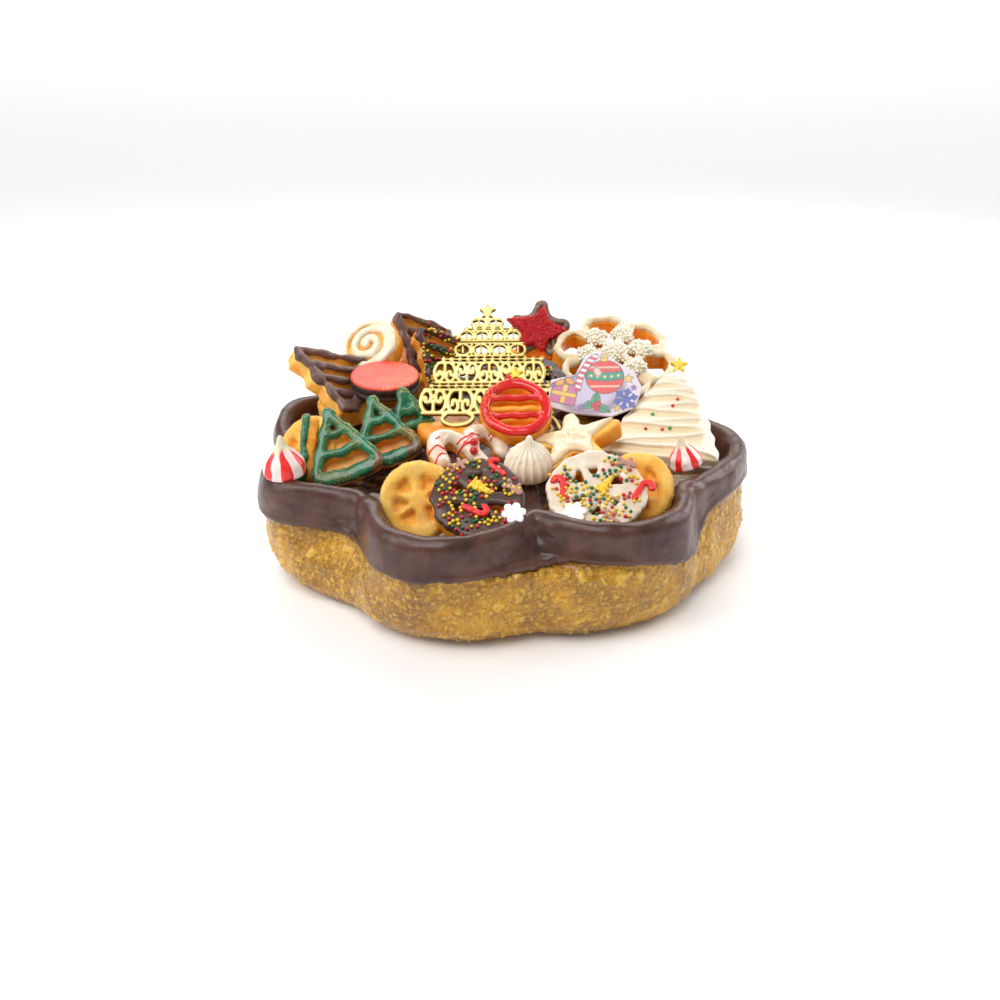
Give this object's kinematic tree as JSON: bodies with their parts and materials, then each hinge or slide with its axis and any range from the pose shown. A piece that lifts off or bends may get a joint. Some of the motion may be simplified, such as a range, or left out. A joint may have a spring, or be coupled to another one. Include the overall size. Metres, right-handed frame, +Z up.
{
  "type": "fritter ring cake",
  "caption": "Large scalloped fried-dough ring cake with a chocolate-dipped rim, its top heaped with iced star, tree and round fritters, sweets and a gold cut-out topper",
  "frame": {"origin": "middle of the overall box, on the flat underside that rests on the table", "axes": "+X to the right and +Y away as seen from the front of the cake, +Z up; the topper's face looks to -Y and leans back"},
  "size_m": [0.2988, 0.2864, 0.1395],
  "materials": {
    "fried_dough": null,
    "chocolate": null,
    "sugared_dough": null,
    "chocolate_iced_dough": null,
    "white_iced_dough": null,
    "green_iced_dough": null,
    "red_iced_dough": null,
    "dark_biscuit": null,
    "red_striped_sweet": null,
    "red_sugar": null,
    "white_sugar": null,
    "gold_card": "pale gold card",
    "printed_card": "card printed in flat colours"
  },
  "bodies": {
    "root": {"fritter_ring": "fried_dough", "chocolate_coat": "chocolate", "round_plain_front_left": "sugared_dough", "round_iced_front_left": "chocolate_iced_dough", "round_plain_front_right": "sugared_dough", "round_iced_front_right": "white_iced_dough", "round_plain_left": "sugared_dough", "round_plain_under_tree": "sugared_dough", "round_chocolate_back": "chocolate_iced_dough", "round_brown_middle": "sugared_dough", "round_plain_back_left": "sugared_dough", "round_plain_back_middle": "sugared_dough", "round_plain_back_right": "sugared_dough", "green_tree_1": "green_iced_dough", "green_tree_2": "green_iced_dough", "green_tree_3": "green_iced_dough", "green_tree_4": "green_iced_dough", "brown_tree_left": "chocolate_iced_dough", "brown_tree_back_1": "chocolate_iced_dough", "brown_tree_back_2": "chocolate_iced_dough", "spiral_fritter": "white_iced_dough", "sandwich_biscuit": "dark_biscuit", "candy_drop_left": "red_striped_sweet", "candy_drop_right": "red_striped_sweet", "meringue_drop": "white_sugar", "double_hook_fritter": "white_iced_dough", "bauble_fritter": "red_iced_dough", "white_star_fritter": "white_iced_dough", "star_fritter_back": "chocolate_iced_dough", "red_sugar_star": "red_sugar", "cream_tree": "white_sugar", "snowflake_fritter": "white_iced_dough", "pearl_snowflake": "white_sugar", "gold_topper": "gold_card", "printed_plaque": "printed_card", "gold_star_cream": "gold_card", "gold_star_bauble": "gold_card"}
  },
  "joints": []
}
